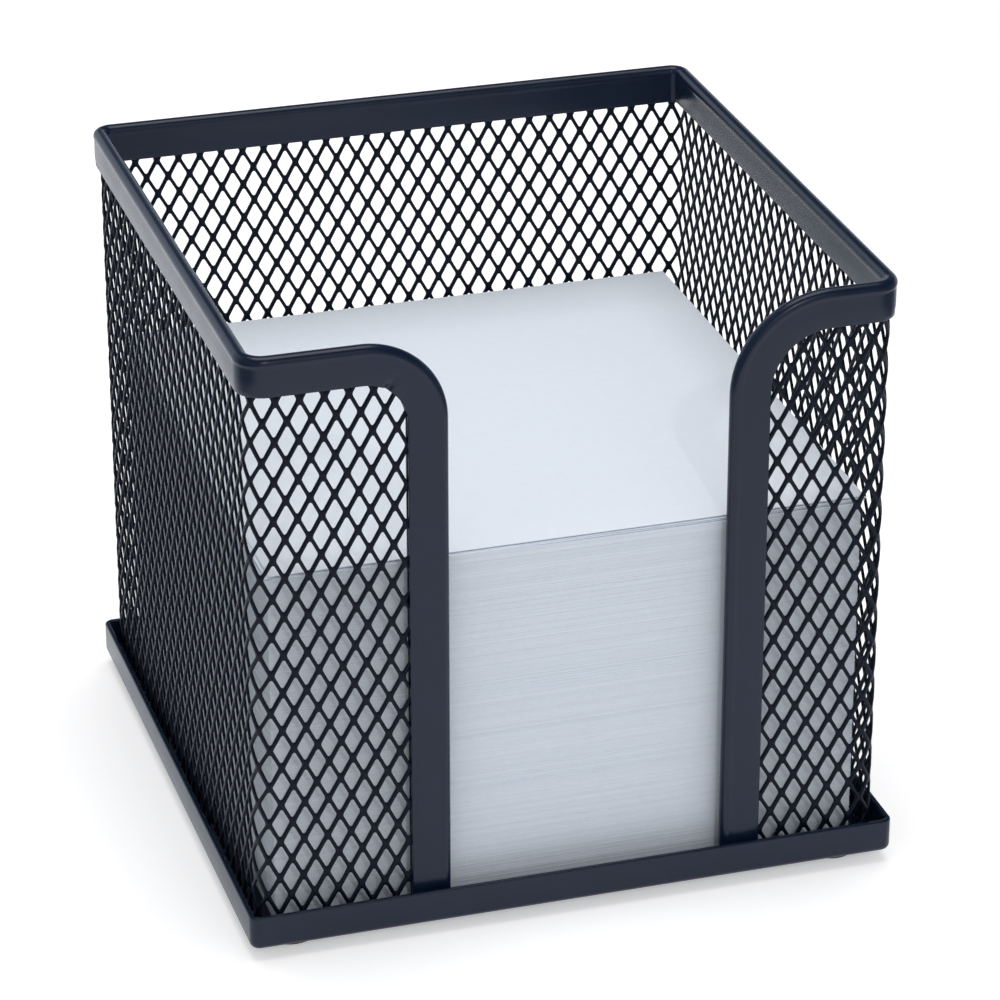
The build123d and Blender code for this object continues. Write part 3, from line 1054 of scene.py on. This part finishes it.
class BuildLooseNotes(Operator):
    """Loose sheets on the stack, those under the top one hanging a little at the front"""

    bl_idname = "memo_box.loose_notes"
    bl_label = "Loose notes"

    def execute(self, context):
        note = context.scene.memo_note
        paper = note_paper(note)
        for node in SHEET_NODES:
            body, droop = ("top_note", 0) if node == "top_note" else ("notes", note.droop)
            name = node.replace("note", "sheet")
            mesh = mesh_from(loose_sheet(node, note, droop), name, sharp_angle=30)
            # The loose sheets keep a tone of 1, with no painted shade
            tone = mesh.attributes.new("sheet_tone", "FLOAT", "POINT")
            tone.data.foreach_set("value", [1.0] * len(mesh.vertices))
            finish_piece(context, name, mesh, paper, body, [node])
        return {"FINISHED"}


def looking_at(target, azimuth, elevation, distance):
    """World matrix of a camera or lamp that looks at a point from a direction round the box."""
    back = Vector((sin(azimuth) * cos(elevation), -cos(azimuth) * cos(elevation), sin(elevation)))
    right = Vector((cos(azimuth), sin(azimuth), 0))
    turned = Matrix((right, back.cross(right), back)).transposed().to_4x4()
    return Matrix.Translation(target + back * distance) @ turned


def seen_rays(graph):
    """1 for rays that show the background itself: from the camera, off gloss or through glass."""
    rays = graph.add("ShaderNodeLightPath").outputs
    return graph.math("MAXIMUM", graph.math("MAXIMUM", rays["Is Camera Ray"], rays["Is Glossy Ray"]),
                      rays["Is Transmission Ray"])


def studio_white(graph, gloss_tint):
    """White, and the cool white of the studio for rays off gloss."""
    rays = graph.add("ShaderNodeLightPath").outputs
    shift = tuple(channel - 1 for channel in gloss_tint)
    return graph.vector("ADD", graph.scale(shift, rays["Is Glossy Ray"]), (1, 1, 1))


class BuildStage(Operator):
    """Camera, pale floor, white background and soft light"""

    bl_idname = "memo_box.stage"
    bl_label = "Stage"

    # Each lamp's azimuth and elevation in degrees, its distance and its width in metres
    lamps = {
        "key": (-3, 36, 1.2, 0.03),
        "front": (0, 26, 1.2, 0.8),
        "top": (170, 84, 1.0, 0.7),
    }

    def execute(self, context):
        stage = context.scene.memo_stage
        self.add_camera(context, stage)
        self.add_floor(context, stage)
        self.add_world(context, stage)
        self.add_lamps(context, stage)
        context.scene.view_settings.view_transform = "Standard"
        return {"FINISHED"}

    def add_camera(self, context, stage):
        """The camera, at the place that the photograph was taken from."""
        data = bpy.data.cameras.new("camera")
        data.sensor_width = 36
        data.lens = stage.lens
        data.clip_start = 10 * MM
        camera = bpy.data.objects.new("camera", data)
        camera.matrix_world = looking_at(Vector(stage.target), stage.azimuth, stage.elevation, stage.distance)
        context.scene.collection.objects.link(camera)
        context.scene.camera = camera

    def add_lamps(self, context, stage):
        """Soft square lamps that look at the middle of the box."""
        middle = Vector((0, 0, 50 * MM))
        for name, (azimuth, elevation, distance, width) in self.lamps.items():
            light = bpy.data.lights.new(f"{name}_light", "AREA")
            light.shape = "SQUARE"
            light.size = width
            light.energy = getattr(stage, f"{name}_power")
            lamp = bpy.data.objects.new(light.name, light)
            lamp.matrix_world = looking_at(middle, radians(azimuth), radians(elevation), distance)
            context.scene.collection.objects.link(lamp)

    def add_floor(self, context, stage):
        """A pale strip of floor, narrow so that the gloss of the corners sees a darker room beside it."""
        side, front, back = stage.floor_side, -stage.floor_front, stage.floor_back
        mesh = bpy.data.meshes.new("floor")
        corners = [(-side, front, 0), (side, front, 0), (side, back, 0), (-side, back, 0)]
        mesh.from_pydata(corners, [], [(0, 1, 2, 3)])
        material = bpy.data.materials.new("floor_white")
        material.use_nodes = True
        graph = Graph(material.node_tree)
        shader = graph.tree.nodes["Principled BSDF"]
        shader.inputs["Base Color"].default_value = (*stage.floor_colour, 1)
        shader.inputs["Roughness"].default_value = 0.9
        shader.inputs["Specular IOR Level"].default_value = 0.0
        graph.give(shader.inputs["Emission Color"], studio_white(graph, stage.gloss_tint))
        glow = graph.math("MULTIPLY", seen_rays(graph), stage.floor_glow)
        graph.give(shader.inputs["Emission Strength"], glow)
        mesh.materials.append(material)
        floor_piece = bpy.data.objects.new("floor", mesh)
        context.scene.collection.objects.link(floor_piece)

    def add_world(self, context, stage):
        """White where the background is seen, a pale wall low behind the box in the gloss, and even light."""
        world = bpy.data.worlds.new("studio")
        context.scene.world = world
        world.use_nodes = True
        graph = Graph(world.node_tree)
        math = graph.math
        background = graph.tree.nodes["Background"]
        direction = graph.separate(graph.add("ShaderNodeTexCoord").outputs["Generated"])
        rays = graph.add("ShaderNodeLightPath").outputs

        def fall(value, start, end, low):
            """1 up to a start, falling smoothly to a low value at an end."""
            values = {"Value": value, "From Min": start, "From Max": end, "To Min": 1.0, "To Max": low}
            return graph.add("ShaderNodeMapRange", values, interpolation_type="SMOOTHSTEP").outputs["Result"]

        # The wall is bright low down, reaches higher at the left, and is dimmer towards the front
        height = math("ADD", direction["Z"], math("MINIMUM", direction["X"], 0.0))
        forward = math("MULTIPLY", direction["Y"], -1.0)
        wall = math("MULTIPLY", fall(height, start=0.12, end=0.4, low=0.05),
                    fall(forward, start=-0.6, end=-0.1, low=0.3))
        plain = math("MAXIMUM", rays["Is Camera Ray"], rays["Is Transmission Ray"])
        shown = math("MAXIMUM", plain, math("MULTIPLY", rays["Is Glossy Ray"], wall))
        even_light = math("MULTIPLY", math("SUBTRACT", 1.0, seen_rays(graph)), stage.ambient)
        graph.give(background.inputs["Color"], studio_white(graph, stage.gloss_tint))
        graph.give(background.inputs["Strength"], math("ADD", shown, even_light))


class MEMOBOX_PT_sidebar(Panel):
    """Settings and operators of the memo box"""

    bl_label = "Memo Box"
    bl_idname = "MEMOBOX_PT_sidebar"
    bl_space_type = "VIEW_3D"
    bl_region_type = "UI"
    bl_category = "Memo Box"

    def draw(self, context):
        for attribute, group in SETTINGS.items():
            box = self.layout.box()
            box.label(text=group.__doc__)
            for key in group.__annotations__:
                box.prop(getattr(context.scene, attribute), key)
        for operator in OPERATORS:
            self.layout.operator(operator.bl_idname)


SETTINGS = {
    "memo_mesh": MeshWallSettings,
    "memo_edge": EdgeSettings,
    "memo_tray": TraySettings,
    "memo_coat": CoatSettings,
    "memo_note": NoteSettings,
    "memo_stage": StageSettings,
}
OPERATORS = [BuildStage, BuildTray, BuildFeet, BuildMeshWalls, BuildEdge, BuildNoteStack, BuildLooseNotes]
CLASSES = [*SETTINGS.values(), *OPERATORS, MEMOBOX_PT_sidebar]


def register():
    """Register the settings, the operators and the panel."""
    for entry in CLASSES:
        bpy.utils.register_class(entry)
    for attribute, group in SETTINGS.items():
        setattr(bpy.types.Scene, attribute, PointerProperty(type=group))


def unregister():
    """Take the settings, the operators and the panel out again."""
    for attribute in SETTINGS:
        delattr(bpy.types.Scene, attribute)
    for entry in reversed(CLASSES):
        bpy.utils.unregister_class(entry)


def main():
    """Build the stage and every piece."""
    register()
    bpy.ops.memo_box.stage()
    bpy.ops.memo_box.tray()
    bpy.ops.memo_box.feet()
    bpy.ops.memo_box.mesh_walls()
    bpy.ops.memo_box.edge()
    bpy.ops.memo_box.note_stack()
    bpy.ops.memo_box.loose_notes()


if __name__ == "__main__":
    main()
